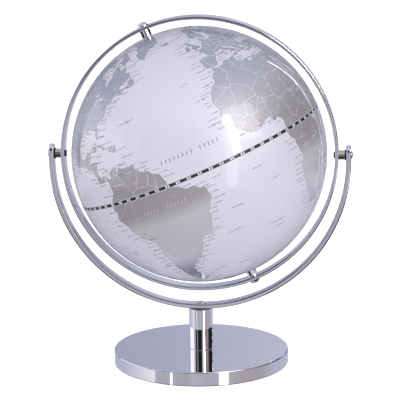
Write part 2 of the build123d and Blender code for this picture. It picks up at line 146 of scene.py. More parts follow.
NORTH_AMERICA = """-168,65.6 -163,66.7 -166.5,68.4 -163,69.3 -156.5,71.3 -148.5,70.4 -141,69.7
-135,69.4 -130,70 -127,70.3 -124.5,70 -120,69.5 -115,68.8 -115.3,67.9 -109,67.8 -108,68.5
-101.5,67.8 -97,68.2 -95.5,69.5 -94.5,71.8 -92.5,69.5 -88,68 -86.5,66.4 -84,69.7 -81.5,69
-81.5,67.3 -84,66.3 -87,65.3 -88,64 -91,63.5 -94.5,61 -94.2,58.8 -92.5,57 -88,56.6 -82.5,55.2
-82.2,53 -80.5,51.3 -79,51.5 -79.2,54 -77,55.8 -76.5,57.3 -78.5,58.8 -77.5,60.5 -78,62.4
-73.8,62.3 -70,61 -69.6,59.3 -67.8,58.3 -65.8,59 -64.6,60.3 -61.7,56.5 -59.5,55 -57,54
-55.7,52.3 -58.5,51.3 -60,50.2 -66.4,50.2 -68.5,49 -70.5,47 -66.5,49.1 -64.3,48.8 -65.5,47.9
-64.8,46.8 -64,46 -61.5,45.8 -60.3,47 -59.9,46 -63.5,44.6 -65.7,43.5 -66,44.5 -64.8,45.3
-66.1,45.2 -67,44.6 -69,44 -70.3,43.6 -70.9,42.4 -70,41.9 -70.6,41.6 -72,41 -73.9,40.6 -74.1,39.7
-75,38.9 -75.2,38 -76,36.9 -75.5,35.2 -76.6,34.6 -78,33.9 -79.9,32.7 -81.1,31.8 -81.4,30.4
-80.5,28.4 -80.1,25.8 -81,25.1 -81.8,26.1 -82.8,27.8 -82.8,29 -84,30.1 -85.3,29.7 -87.2,30.4
-89.4,30.3 -89.2,29.1 -91,29.2 -93.8,29.7 -94.8,29.3 -97.3,27.8 -97.2,25.9 -97.8,22.3 -97.2,20.7
-96.1,19.2 -94.4,18.2 -91.8,18.6 -90.6,19.8 -90.4,21 -86.9,21.4 -87.5,20.2 -88.2,17.4 -88.8,15.8
-86.8,15.8 -83.2,15 -83.6,12 -83.6,10.9 -82.2,9.2 -81,8.8 -79.9,9.4 -78.5,9.5 -77.3,8.6
-77.9,7.2 -78.4,8.4 -79.5,8.9 -80.4,8.2 -80.9,7.2 -81.7,8.1 -82.9,8.1 -83.6,8.5 -84.7,9.6
-85.8,11 -87.2,12.6 -87.7,13.1 -89.5,13.4 -91.5,14 -94,16.1 -95.2,16.1 -96.5,15.7 -99.9,16.8
-104.3,19 -105.6,20.4 -105.3,21.7 -106.4,23.2 -109.1,25.6 -111,27.9 -113.2,31.3 -114.8,31.8
-114.6,30.5 -113,28.5 -111.4,26 -110.4,24.3 -109.5,23.1 -110.3,23.2 -112.2,25 -114.2,27.1
-115,27.8 -114.1,28.5 -115.8,30.3 -117.1,32.5 -118.5,34 -120.5,34.5 -121.9,36.6 -122.5,37.8
-124.4,40.4 -124.5,42.8 -124,46.2 -124.7,48.4 -122.5,47.8 -123,49.2 -125.5,50.5 -127.8,51.6
-130.3,54.3 -132,56 -134.5,58 -136.8,58.4 -139.8,59.6 -144,60 -146,60.8 -149.5,59.8 -151.8,59.3
-150,61.2 -153.5,59.4 -156,57.8 -159,55.8 -164.5,54.6 -162,55.8 -157.8,58.6 -162,58.7 -162.5,60
-165.5,61.2 -165,62.8 -161,64 -165.5,64.5"""
SOUTH_AMERICA = """-77.3,8.6 -76.8,8.1 -75.6,10.5 -74.8,11.1 -74.1,11.3 -71.6,12.4 -71.3,11
-71.7,9.6 -70.3,11.5 -70,12.2 -69.5,11.5 -68,10.5 -66.9,10.6 -65,10.1 -64.2,10.5 -61.9,10.7
-62,9.8 -60.9,8.6 -58.4,6.9 -55.2,5.9 -52.2,4.9 -51.5,4.3 -50.3,1.9 -50,1 -50.5,0 -48.5,-.3
-48,-.8 -46,-1.1 -44.2,-2.6 -41.7,-2.9 -38.5,-3.7 -35.3,-5.2 -34.8,-7.2 -34.9,-8.2 -35.7,-9.8
-37,-11 -38.3,-13 -39,-14.8 -39,-16.5 -39.2,-17.8 -40.2,-20.4 -41,-22 -42,-23 -43.5,-23
-46.5,-24.1 -48.4,-25.7 -48.5,-27.8 -49.6,-29.3 -50.5,-31 -52.1,-32.2 -53.4,-34 -54.5,-34.9
-56.2,-34.9 -58.3,-34.1 -58.3,-34.7 -56.8,-36.4 -57.6,-38.2 -62,-39 -62.3,-40.6 -63.5,-41.1
-65,-41 -64.9,-42.3 -63.6,-42.4 -65,-43.3 -65.5,-45 -67.5,-46 -66,-47.2 -65.9,-47.8 -67.6,-49.3
-68.5,-50.2 -69,-51.7 -68.4,-52.4 -68.2,-53.2 -66.5,-54.3 -65.2,-54.7 -67.3,-55.8 -70,-55.2
-72.5,-54.2 -74.5,-52.8 -75.2,-50.8 -75.5,-48.5 -75.6,-46.8 -74,-45 -74.2,-43.3 -73.8,-41.8
-73.4,-39.9 -73.3,-37.2 -71.7,-33 -71.5,-30 -70.5,-23.7 -70.3,-18.4 -72,-17 -75.2,-15.4
-76.3,-13.8 -77.2,-12 -78.6,-9.1 -79.2,-8 -81.2,-5.8 -81.3,-4.5 -80.3,-3.2 -79.9,-2.5 -81,-2.2
-80.8,-1 -79.9,.9 -78.8,1.8 -77.3,3.7 -77.5,5.5 -77.9,7.2"""
GREENLAND = """-43.9,59.9 -48,61 -49.8,62.5 -51.7,64.1 -53.5,66.5 -53.7,67 -51,69 -54.5,69.6
-54.8,71.3 -56,72.8 -58.5,75 -62,76 -68.5,76.2 -71,77 -73,78.2 -66,79.2 -65,80 -62,81.3 -52,82.3
-33,83.6 -22,82.6 -11.8,81.4 -17,80 -19,78.5 -19.5,76.5 -20,74.5 -22,72.5 -22,70.4 -26,68.5
-33.5,67.5 -37.5,65.8 -40.3,64.7 -41,63 -42.5,61.3"""
AUSTRALIA = """142.5,-10.7 143.6,-14.3 145.3,-15 145.9,-16.9 146.3,-19 149,-20.3 150.8,-23.3
153.2,-25.2 153.1,-27.5 153.6,-28.7 152.5,-32.3 151.2,-33.9 150,-37.3 147.5,-38 146.3,-39.1
144.5,-38.2 143.5,-38.8 140.5,-38 139.2,-35.8 138.2,-35.6 138.4,-34.4 137.6,-35.2 137.8,-32.6
135.7,-34.9 134.2,-32.8 131.2,-31.5 126,-32.3 123.6,-33.9 120,-34 117.9,-35.1 115.1,-34.3
115.7,-32 114.6,-29 113.4,-26.2 113.7,-22.7 114.2,-21.8 116.8,-20.6 119.5,-20 122.2,-18
123.5,-17.3 123,-16.4 125.3,-14.5 127.5,-14 129,-15 130.2,-12.9 132.7,-11.4 136.7,-12 135.9,-14.9
139,-17.4 140.9,-17.5 141.7,-14.5 141.6,-12.7"""
ISLANDS = """-24.3,65.5 -22.5,66.4 -21.4,65.5 -20.3,66 -18.5,66 -16.2,66.5 -14.7,66.2 -13.6,65.2 -15,64.3
 -18.7,63.4 -20.4,63.6 -22.7,63.9 -22,64.5 -24,64.9 -22.2,65.2
/ -5.6,50.1 -3.7,50.3 -2,50.7 1,50.9 1.4,51.3 .6,51.5 1.7,52.6 .3,53 .1,53.6 -1.3,54.7 -2,55.8
 -3.2,56 -1.8,57.5 -4,57.7 -3.1,58.6 -5,58.6 -5.8,57.4 -5.6,56.3 -4.8,55.6 -5,54.8 -3.3,54.9
 -3,53.7 -4.5,53.3 -4.3,52.4 -5.2,51.8 -3.2,51.4 -4.3,51.1
/ -6.1,53.3 -6.3,52.2 -8.3,51.8 -10.2,51.7 -9.5,52.7 -10,53.5 -9.8,54.2 -8.4,54.5 -8.3,55.1
 -6.8,55.2 -5.6,54.6
/ -55.5,51.6 -56.8,51 -58.2,49 -59.3,47.8 -56,46.9 -54,46.8 -53,46.6 -52.7,47.6 -53.6,48.5
 -53.7,49.4 -55.7,49.9 -56,50.8
/ -84.9,21.9 -83,23 -80.5,23.1 -77.5,22 -74.2,20.2 -77.6,19.9 -78.5,21.5 -81.8,22.2
/ -74.4,18.4 -73.2,19.9 -70,19.7 -68.4,18.6 -70.5,18.2 -71.7,17.7 -72.5,18.5
/ -78.3,18.3 -76.3,18.1 -77.2,17.8 / -67.2,18.4 -65.7,18.3 -66.5,17.9
/ 49.3,-12 50.4,-15.7 49.7,-16.8 48,-22 47.1,-24.9 45.2,-25.5 43.7,-23.5 43.3,-22 44.4,-19.9
 44,-17.5 44.5,-16.2 46.5,-15.6 48,-13.6
/ 11,79.6 16,80 20,80.3 27,80 22,78.5 17,76.7 14,77.8
/ 51.6,71.5 53.5,73.3 57,75.5 65,76.8 69,76.8 66,75.8 58,73.5 57.5,70.6
/ -61.5,66.5 -64.5,63.3 -66,61.9 -70,62.8 -74,64.5 -78,64.8 -74,66.5 -73,68.3 -78,69.9 -86,70
 -89.5,71.5 -86,73.7 -80.5,73.7 -76,72.5 -71,71.2 -67,69.5 -67.5,68.5
/ -62,82.5 -70,83.1 -85,82.3 -92,81 -86,79.8 -88,78.3 -84,76.4 -78,76.5 -76,78.8 -68,80.5
/ -80,74.6 -80,75.6 -92,76.5 -92,74.8
/ -117,70 -118,72.5 -111,72.8 -105,72.7 -104.5,70.8 -101.5,69.7 -105,68.9 -113.5,68.7
/ -125.5,72 -124,74 -118,73.5 -120,71.7 -123,71.2 / -87,63.8 -84.5,65.7 -80.5,63.8 -83,63.2
/ -128.2,50.7 -125.4,50.2 -123.5,48.4 -125.5,48.8
/ 142.5,54.3 143.3,52 143.5,49.5 142.8,47 143.4,46.8 142,46.1 142,49 141.9,52
/ 141.9,45.5 145.3,43.3 143.3,42 140.2,41.5 140.5,43.2 141.6,43.6
/ 141.2,41.4 142,39.5 141,38.2 140.8,35.7 139.8,35 138.8,34.7 136.9,34.3 135.8,33.5 135.2,34.5
 132.3,34 131,34 131,34.5 133,35.5 136,35.7 136.8,37.3 138.6,37.3 139.9,39 140,40.6
/ 130,33.4 131.8,33.4 131.4,31.5 130.6,31 129.8,32.7 / 132.4,33.4 134.5,34.2 134.2,33.4 133,32.8
/ 121.5,25.3 121,22.5 120.1,23 / 108.7,19.3 110.7,20.1 110.4,18.8 109,18.3
/ 120.6,18.5 122.2,18.5 121.6,16 123.9,13.8 124,12.7 121.8,13.8 120.6,13.9 120.3,14.8 119.9,16.2
/ 122,7 123.4,8.6 125.4,9.8 126.5,7.5 125.5,5.8 124,6.6 / 124.3,12.5 125.7,11.2 125,10.2
/ 122,11.8 123.3,10.5 122.8,9.2
/ 109,1.5 109.7,2 111.3,2.5 113,3.2 115.3,5.3 116.8,7 119.2,5.3 117.8,3.5 118.8,1 117.5,.6
 116.4,-2 115.9,-4 114.5,-3.9 111.8,-3.4 110,-1.5
/ 95.3,5.6 97.5,5.2 100.3,2.6 103.5,0 104.3,-1 106,-3 105.8,-5.8 104.5,-5.9 102.3,-4 100.4,-1
 98.7,1.8
/ 105.2,-6.8 106.7,-6 108.5,-6.6 110.8,-6.4 112.7,-7 114.4,-7.8 114.3,-8.7 111,-8.2 108,-7.8
/ 119.8,.8 120.8,1.3 125,1.6 124,.4 120.3,.4 121,-1.4 123.3,-.9 121.6,-1.9 122.8,-4 121.5,-4.7
 121,-2.8 120.4,-5.5 119.5,-5.5 118.8,-2.8 119.7,-.3
/ 123.5,-10.3 127.2,-8.4 125,-8.8
/ 131,-.8 134,-.9 135,-3.3 137.8,-1.5 141,-2.6 144.5,-3.8 147.8,-6 147,-6.8 150.8,-10.3
 146.9,-9.3 144,-7.8 142.6,-9.3 139.5,-8.1 138.8,-6.8 136,-4.5 133,-4 132.8,-2.8 131,-1.5
/ 79.8,8.2 80,9.8 81.9,7.5 80.6,6 79.8,7 / 144.7,-40.7 148.3,-40.9 148,-43 146.8,-43.6 145.5,-42.5
/ 172.7,-34.4 175.5,-36.5 178.5,-37.7 177,-39.4 175.3,-41.6 173.8,-39.3 174.8,-38 174.3,-36.3
/ 172.7,-40.5 174.3,-41.7 172.8,-43.6 171.2,-44.5 170.7,-45.9 168.4,-46.6 166.5,-46 168.3,-44
 171.3,-42.2
/ 12.5,38 15.6,38.2 15.1,36.7 12.7,37.5 / 8.2,40.9 9.6,41.1 9.6,39.2 8.5,39
/ 9.4,43 9.5,42 9.2,41.4 8.6,42.3 / 23.5,35.5 26.3,35.2 24.8,34.9 / 32.3,35 34.5,35.6 33.9,34.9 32.8,34.6
/ 11,55.7 12.6,56 12.2,55 11.2,55.2 / -61,-51.8 -58,-51.4 -59,-52.3"""
WATERS = """28.2,41.6 27.7,42.5 28,43.3 28.7,44.2 29.7,45.1 30.8,46.5 32.3,46.1 32.6,45.4 33.4,44.6
 35.4,45 36.5,45.3 35,46.2 37.6,47 39.1,47.2 38,46.3 37,45.2 37.8,44.7 39.7,43.5 41,43 41.6,41.7
 39.7,41 36.3,41.4 35.1,42.1 32.4,41.8 31.4,41.3
/ 26.7,40.4 27.5,41 28.9,41 29.4,40.7 28,40.4
/ 47.5,45.5 49,46.5 51.2,47 53,46.8 53.1,45.2 51.1,44.5 50.3,44.3 51.2,43.2 52.6,42.6 52.7,41.5
 53.7,40.8 53,39.8 53.9,38.9 53.9,37 52,36.6 50.2,37.3 49,37.6 48.9,38.5 49.4,39.4 50.3,40.3
 49,41.4 48.2,42.3 47.5,43 47.4,43.8 46.8,44.5
/ 58.4,45 60,46.5 61.5,46 60.5,44.3 58.8,43.8 / 31.8,-.5 33,.4 34.2,-.2 33.9,-2 32.6,-2.6 31.8,-1.8
/ 29.3,-3.8 29.7,-6 31,-8.6 30.4,-7 / 34.2,-9.8 34.9,-12.4 34.6,-14.2 34.3,-12.2
/ 104,51.6 107,52.4 109.7,55.6 108,54.4 / 30.3,60.3 32.8,60.6 31,61.6 / 34.5,61.4 36,61.2 35.2,62.6
/ -92,46.8 -88,48.8 -84.8,46.8 -87.5,46.6 / -87.7,42 -86.3,42.3 -85.2,45.6 -87.6,45 -87.9,43
/ -84.3,46 -81,45.8 -80.2,44.6 -82.2,43.2 -83.3,45 / -83.3,41.8 -79,42.8 -82,41.5
/ -79.7,43.4 -76.4,44.1 -76.5,43.5 / -98.8,53.6 -97,53 -96.5,50.6 -98,51.5
/ -117,61.2 -113,62.4 -109.5,62.8 -113.5,61 / -124.8,66.2 -120,67 -118,65.8 -122,64.9"""
ANTARCTIC = """-180,-78 -160,-78 -150,-77 -140,-75.5 -125,-74 -110,-74.5 -100,-73 -85,-73.3 -75,-72
-68,-68 -62,-64.5 -57,-63.3 -60,-66.5 -61,-74 -50,-77.5 -35,-78 -25,-75 -12,-71.5 0,-70 15,-69.5
35,-69 50,-66.5 60,-67.3 73,-69.5 80,-67.5 95,-66 110,-66 130,-66.2 145,-67 160,-69.5 170,-71.5
168,-77 180,-78"""


def outline(text):
    return np.array([[float(n) for n in pair.split(",")] for pair in text.split()])


def weathered(points, closed=True, longest=0.7, rough=0.16, draws=random.Random(11)):
    """The outline with each run broken up like a real shore: midpoints pushed aside again and again."""
    done = []
    total = len(points) if closed else len(points) - 1
    for i in range(total):
        a, b = points[i], points[(i + 1) % len(points)]
        stack = [(a, b)]
        while stack:
            p, q = stack.pop()
            squeeze = math.cos(math.radians((p[1] + q[1]) / 2))
            run = np.array([(q[0] - p[0]) * squeeze, q[1] - p[1]])
            length = math.hypot(*run)
            if length < longest:
                done.append(p)
                continue
            push = draws.gauss(0, rough) * min(length, 5.0)
            aside = np.array([-run[1] / max(squeeze, 0.1), run[0]]) / length * push
            middle = (p + q) / 2 + aside
            stack += [(middle, q), (p, middle)]
    if not closed:
        done.append(points[-1])
    return np.array(done)


def inside(lon, lat, loop):
    """Even-odd test of points against one outline."""
    within = np.zeros(len(lon), bool)
    x0, y0 = loop[:, 0], loop[:, 1]
    x1, y1 = np.roll(x0, -1), np.roll(y0, -1)
    for ax, ay, bx, by in zip(x0, y0, x1, y1):
        if ay == by:
            continue
        crosses = (ay > lat) != (by > lat)
        within ^= crosses & (lon < (bx - ax) * (lat - ay) / (by - ay) + ax)
    return within


LAND = [weathered(outline(t)) for t in
        (AFRICA, EURASIA, NORTH_AMERICA, SOUTH_AMERICA, GREENLAND, AUSTRALIA)]
LAND += [weathered(outline(t), longest=0.5, rough=0.12) for t in ISLANDS.split("/")]
LAKES = [weathered(outline(t), longest=0.5, rough=0.1) for t in WATERS.split("/")]
ICE = weathered(outline(ANTARCTIC), closed=False, rough=0.1)
ICE = ICE[np.argsort(ICE[:, 0])]


def is_land(lon, lat):
    """Whether true longitudes and latitudes lie on land."""
    land = lat < np.interp(lon, ICE[:, 0], ICE[:, 1])
    for loops, value in ((LAND, True), (LAKES, False)):
        for loop in loops:
            low, high = loop.min(0), loop.max(0)
            for turn in (0, 360):
                near = (lon + turn >= low[0]) & (lon + turn <= high[0])
                near &= (lat >= low[1]) & (lat <= high[1])
                at = np.flatnonzero(near)
                if len(at):
                    hit = inside(lon[at] + turn, lat[at], loop)
                    land[at[hit]] = value
    return land


CELL = 0.5                                    # degrees, for quick tests of where a name may go
grid_lon, grid_lat = np.meshgrid(np.arange(-180, 180, CELL) + CELL / 2, np.arange(-90, 90, CELL) + CELL / 2)
LAND_GRID = is_land(grid_lon.ravel(), grid_lat.ravel()).reshape(grid_lon.shape)


def on_land(lon, lat):
    """Whether one true longitude and latitude lies on land, to the nearest cell."""
    return LAND_GRID[int((lat + 90) / CELL) % LAND_GRID.shape[0], int((lon + 180) % 360 / CELL)]


shore_points = []
for loop in LAND + LAKES + [ICE]:
    closing = loop if loop is ICE else np.vstack([loop, loop[:1]])
    for a, b in zip(closing[:-1], closing[1:]):
        steps = max(1, int(math.hypot((b[0] - a[0]) * math.cos(math.radians(a[1])), b[1] - a[1]) / 0.15))
        for k in range(steps):
            shore_points.append(a + (b - a) * k / steps)
shore_points = np.array(shore_points)
shore_tree = kdtree.KDTree(len(shore_points))
for i, co in enumerate(on_globe(shore_points[:, 0], to_print(shore_points[:, 1]))):
    shore_tree.insert(co, i)
shore_tree.balance()

# one line to a country, each a few places inside it: borders run halfway between neighbours
COUNTRIES = """-6,32.5 -9,29.8/-13.5,24.8/3,34 2.5,28 6,24/9.5,34.5/14,31 17,27 22,28/29.5,27 32,25
/-11,20/-2,19 -8,13.5/9.5,17.5/18.5,15.5/30,15.5 33,19/30.5,7.3/38.5,15.5/39,9 43.5,7/46,5 48,9.5
/37.8,.5/32.5,1.3/34.8,-6.2/29.9,-2.8/23,-2.5 21,-6 26.5,-9 25,2/15.2,-.8/11.6,-.6/12.5,5.5
/20.5,6.6/8,9.5/2.3,9.6/.9,8.6/-1.2,8/-5.5,7.6/-1.6,12.4/-10.8,10.6/-9.4,6.4/-11.8,8.5/-14.5,14.4
/-15,12/17.5,-12.3 15,-9/26.5,-14/34,-13.3/37.5,-15 34.5,-20.5 33,-24/29.8,-19/23.8,-22.2
/17.2,-21.5/24,-30 29.5,-26/28.3,-29.6/46.8,-19.5
/-73.5,4/-66,7.3/-58.9,5/-56,4.1/-53.1,3.9/-78.5,-1.4/-75.5,-9.5 -72.5,-14 -74.5,-5/-64.8,-16.8
/-52,-10 -60,-4 -45,-8 -50,-2 -48,-18 -53,-28 -60,0 -68,-6 -52.5,-22/-58.3,-23.3/-56,-32.8
/-64.5,-34 -63,-28 -67,-41 -69,-47.5 -66,-25/-71,-33 -69.8,-23 -72.5,-40 -73.6,-47
/-8.1,39.7/-3.8,40.2/2.4,46.8/5,51.5/10.3,51/8.2,46.8/12.5,43 9.5,45.2 16,40.3/14.3,47.5/15.4,49.8
/19.3,52/9.3,56/8.5,61 14,66.3 24,69.8/15,60 18.5,65.5/26.5,63/25.8,58.7/25,56.9/24,55.3/28,53.5
/31.5,49/25,45.9/19.3,47.1/19.6,48.7/16,45.5/17.8,44.2/20.9,44/20,41/22.3,39.3/25.3,42.7/34.5,39
/38.5,35/43.7,33/36.5,31.2/44.5,24/47.8,15.6/56.5,20.8/54.2,23.8/54,32.5/44,41.8/47.5,40.3/59,39.3
/64,41.8/67,48 52,49 77,47/74.7,41.4/71.2,38.7/66,33.9/69.3,29.9/78,22 77,14 75,28 86,24 93,26
/84,28.3/90.2,23.8/96.3,21/101,15.3/103,19/106,20.5 108,14/105,12.6/102.3,4
/104,34 88,40 115,30 112,38 90,32 105,26 125,46/103.5,46.8
/40,57 60,60 75,62 95,60 115,62 135,63 155,66 45,50/127,40/127.8,36.5/138,37 142.5,43.5 131,33
/121,23.8/80.7,7.6/102,0 110,-7.3 113.5,-1 121,-2 137.5,-4.5/144.5,-6.5/122,13 124,8
/122,-26/133.5,-20/135,-30/144.5,-22.5/146.5,-32.5/144.5,-37/172,-42/-2,53.5/-8,53.2/-18.5,65
/-42,72 -45,62 -25,80/-100,56 -75,50 -120,56 -66,48 -62,54 -75,70 -110,70/-98,40 -80,38 -118,40
/-152,64/-102,24/-90.4,15.5/-86.6,14.8/-85,12.9/-84,10/-80.4,8.6/-79,21.8/-72.5,19/-70.3,18.9
/0,-85 90,-80 180,-80 -90,-80"""
seed_places, seed_nation = [], []
for n, line in enumerate(COUNTRIES.split("/")):
    for place in outline(line):
        seed_places.append(place)
        seed_nation.append(n)
seed_places, seed_nation = np.array(seed_places), np.array(seed_nation)
seed_dirs = (on_globe(seed_places[:, 0], to_print(seed_places[:, 1])) - CENTRE) / GLOBE_R


def print_colours():
    """A number from 0 to 7 for each nation, different for nations that touch."""
    lon, lat = np.meshgrid(np.arange(-180, 180, 1.0), np.arange(-84, 84, 1.0))
    dirs = (on_globe(lon.ravel(), lat.ravel()) - CENTRE) / GLOBE_R
    touching = set()
    for block in np.array_split(dirs, 20):
        nearest = np.argsort(-(block @ seed_dirs.T), axis=1)[:, :4]
        for row in seed_nation[nearest]:
            touching |= {(row[0], r) for r in row[1:] if r != row[0]}
    chosen = {}
    for n in range(seed_nation.max() + 1):
        used = {chosen.get(b if a == n else a) for a, b in touching if n in (a, b)}
        free = [c for c in range(8) if c not in used]
        chosen[n] = free[0] if free else n % 8
    return np.array([chosen[n] for n in seed_nation])


seed_colour = print_colours()


def border_fields(points):
    """Three signed distances that change sign where one nation meets another, in millimetres."""
    dirs = (points - CENTRE) / GLOBE_R
    warp = np.array([noise.noise_vector(Vector(d * 9)) for d in dirs]) * 0.009
    warp += np.array([noise.noise_vector(Vector(d * 31)) for d in dirs]) * 0.004
    dirs = dirs + warp
    fields = []
    for bit in range(3):
        sides = []
        for value in (0, 1):
            picked = seed_dirs[(seed_colour >> bit) & 1 == value]
            apart = np.concatenate([np.square(block[:, None, :] - picked[None]).sum(2)
                                    for block in np.array_split(dirs, 60)])
            at = apart.argmin(1)
            sides.append((apart[np.arange(len(at)), at], picked[at]))
        gap = np.linalg.norm(sides[0][1] - sides[1][1], axis=1)
        fields.append((sides[0][0] - sides[1][0]) / (2 * np.maximum(gap, 1e-3)) * GLOBE_R / MM)
    return fields


# ---------------------------------------------------------------- meshes

def new_object(name, verts, faces, smooth=True):
    mesh = bpy.data.meshes.new(name)
    mesh.from_pydata([tuple(v) for v in verts], [], faces)
    mesh.validate()
    if smooth:
        mesh.shade_smooth()
    obj = bpy.data.objects.new(name, mesh)
    bpy.context.scene.collection.objects.link(obj)
    return obj


COLUMNS, ROWS, INNER_ROWS = 600, 140, 10
WALL = 1.6 * MM
HOLE_R = 3.6 * MM
POLE_LAT = math.degrees(math.acos(HOLE_R / GLOBE_R))


def printed_half(name, sign):
    """One half of the globe: a thin shell, fine enough outside to carry the map."""
    inner_r = GLOBE_R - WALL
    inner_pole = math.degrees(math.acos(HOLE_R / inner_r))
    rings = [(GLOBE_R, lat) for lat in np.linspace(0, POLE_LAT, ROWS + 1)]
    rings += [(inner_r, lat) for lat in np.linspace(inner_pole, 0, INNER_ROWS + 1)]
    lon = np.arange(COLUMNS) * 360.0 / COLUMNS + MERIDIAN
    verts = np.concatenate([on_globe(lon, np.full(COLUMNS, sign * lat), r) for r, lat in rings])
    faces = []
    for i in range(len(rings)):
        j = (i + 1) % len(rings)
        for k in range(COLUMNS):
            m = (k + 1) % COLUMNS
            quad = (i * COLUMNS + k, i * COLUMNS + m, j * COLUMNS + m, j * COLUMNS + k)
            faces.append(quad if sign > 0 else quad[::-1])
    obj = new_object(name, verts, faces)
    outer = (ROWS + 1) * COLUMNS
    print_lat = np.repeat([sign * lat for _, lat in rings[:ROWS + 1]], COLUMNS)
    true_lat = to_true(print_lat)
    true_lon = (np.tile(lon, ROWS + 1) + 180) % 360 - 180
    land = is_land(true_lon, true_lat)
    reach = np.array([shore_tree.find(v)[2] for v in verts[:outer]]) / MM
    fields = {"shore": np.where(land, reach, -reach)}
    for letter, values in zip("abc", border_fields(verts[:outer])):
        fields["border_" + letter] = values
    for key, values in fields.items():
        full = np.zeros(len(verts), np.float32)
        full[:outer] = np.clip(values, -30, 30)
        obj.data.attributes.new(key, "FLOAT", "POINT").data.foreach_set("value", full)
    return obj


north = printed_half("north_map", 1)
south = printed_half("south_map", -1)
for piece, node in ((north, "north_hemisphere"), (south, "south_hemisphere")):
    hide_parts(node)
    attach(piece, "globe")


# ---------------------------------------------------------------- the two chrome bands, finely divided

EDGE_STEPS = 8                                # facets round each rounded edge
DRILL_SIDES = 48
RING_TURNS, BEND_STEPS, TIP_STEPS = 720, 540, 16
RING_HALF_WALL, RING_EDGE = 1.45 * MM, 0.9 * MM
ARC_HALF_WALL, ARC_EDGE = 2.05 * MM, 1.2 * MM
PIN_R, BUSH_R = 1.5 * MM, 2.5 * MM
SCREW_R, SCREW_HEAD_R = 2.5 * MM, 4.9 * MM


def cut(obj, holes):
    """Drills holes: (start, way, length, radius at the start, radius at the end)."""
    n = DRILL_SIDES
    for start, way, length, r0, r1 in holes:
        way = Vector(way).normalized()
        side = way.orthogonal().normalized()
        other = way.cross(side)
        ends = []
        for k, r in ((0, r0), (1, r1)):
            ends += [Vector(start) + way * length * k + (side * math.cos(a) + other * math.sin(a)) * r
                     for a in np.linspace(0, math.tau, n, endpoint=False)]
        faces = [(k, n + k, n + (k + 1) % n, (k + 1) % n) for k in range(n)]
        faces += [tuple(range(n)), tuple(range(2 * n - 1, n - 1, -1))]
        tool = new_object("drill", ends, faces, smooth=False)
        bore = obj.modifiers.new("bore", "BOOLEAN")
        bore.operation, bore.solver, bore.object = "DIFFERENCE", "EXACT", tool
        shape = bpy.data.meshes.new_from_object(obj.evaluated_get(bpy.context.evaluated_depsgraph_get()))
        obj.modifiers.clear()
        obj.data = shape
        bpy.data.objects.remove(tool)
    obj.data.shade_smooth()
    even = obj.modifiers.new("even shading", "WEIGHTED_NORMAL")
    even.weight, even.keep_sharp = 100, False
    return obj


def ring_band():
    """The meridian ring: a flat band with rounded edges, drilled for the pivots and poles."""
    low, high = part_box("meridian_ring")
    outer, half_depth = (high.x - low.x) / 2, (high.y - low.y) / 2
    half_wall, edge = RING_HALF_WALL, RING_EDGE
    middle = outer - half_wall
    section = []
    for sy, st, first in ((1, 1, 0), (-1, 1, 90), (-1, -1, 180), (1, -1, 270)):
        for k in range(EDGE_STEPS + 1):
            a = math.radians(first + 90 * k / EDGE_STEPS)
            section.append((sy * (half_depth - edge) + edge * math.cos(a),
                            st * (half_wall - edge) + edge * math.sin(a)))
    turns, n = RING_TURNS, len(section)
    verts = []
    for i in range(turns):
        a = math.tau * i / turns
        verts += [(CENTRE[0] + (middle + t) * math.cos(a), y, CENTRE[2] + (middle + t) * math.sin(a))
                  for y, t in section]
    faces = [(i * n + k, i * n + (k + 1) % n, (i + 1) % turns * n + (k + 1) % n, (i + 1) % turns * n + k)
             for i in range(turns) for k in range(n)]
    ring = new_object("ring_band", verts, faces)
    ways = [(1, 0, 0), (-1, 0, 0), tuple(POLE), tuple(-POLE)]
    return cut(ring, [(CENTRE + np.array(w) * (outer - 5 * MM), w, 10 * MM, PIN_R, PIN_R) for w in ways])


